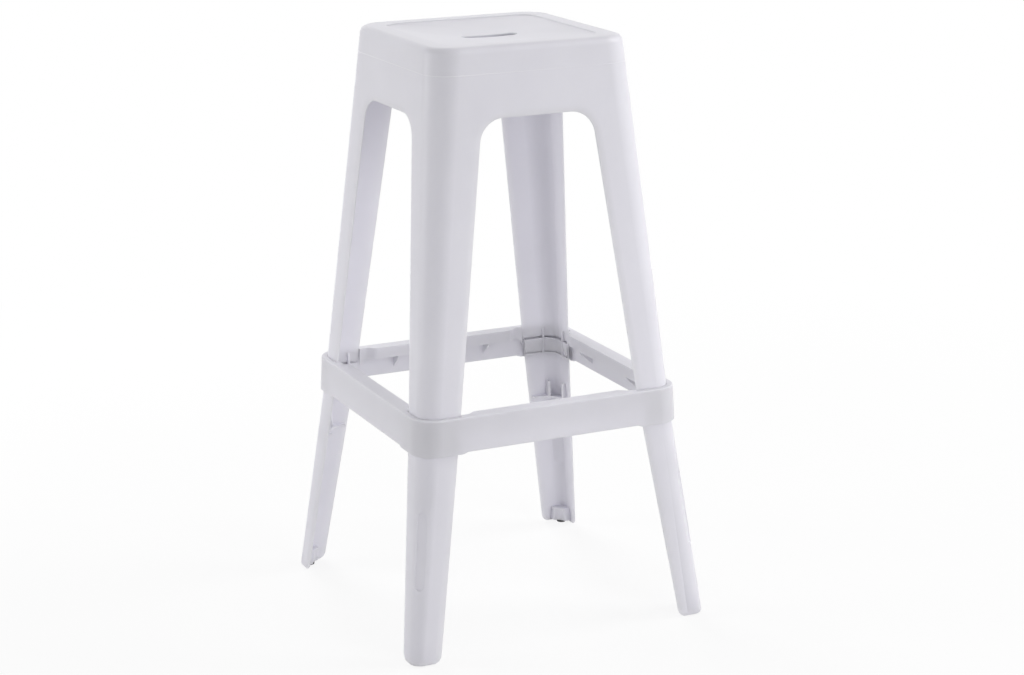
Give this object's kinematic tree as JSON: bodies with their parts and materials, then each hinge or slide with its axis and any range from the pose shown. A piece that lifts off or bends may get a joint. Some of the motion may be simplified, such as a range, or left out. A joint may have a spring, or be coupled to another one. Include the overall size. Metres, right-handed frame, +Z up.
{
  "type": "stacking bar stool",
  "caption": "Square moulded-plastic stacking bar stool: dished seat with hand slot, hollow splayed legs in two lengths, footrest ring and push-in foot glides.",
  "frame": {"origin": "on the floor, at the middle of the footprint", "axes": "+Z up through the middle of the seat, +X along the hand slot, -Y out of the side seen broadly in the picture"},
  "size_m": [0.412, 0.412, 0.75],
  "materials": {
    "body_plastic": "fine satin grain, cool white polypropylene",
    "ring_plastic": "fine satin grain, cool white polypropylene",
    "glide_plastic": "dark grey, dull"
  },
  "bodies": {
    "root": {"seat_body": "body_plastic", "footrest_ring": "ring_plastic", "lower_leg_front_left": "body_plastic", "lower_leg_front_right": "body_plastic", "lower_leg_rear_right": "body_plastic", "lower_leg_rear_left": "body_plastic", "foot_glide_front_left": "glide_plastic", "foot_glide_front_right": "glide_plastic", "foot_glide_rear_right": "glide_plastic", "foot_glide_rear_left": "glide_plastic"}
  },
  "joints": []
}
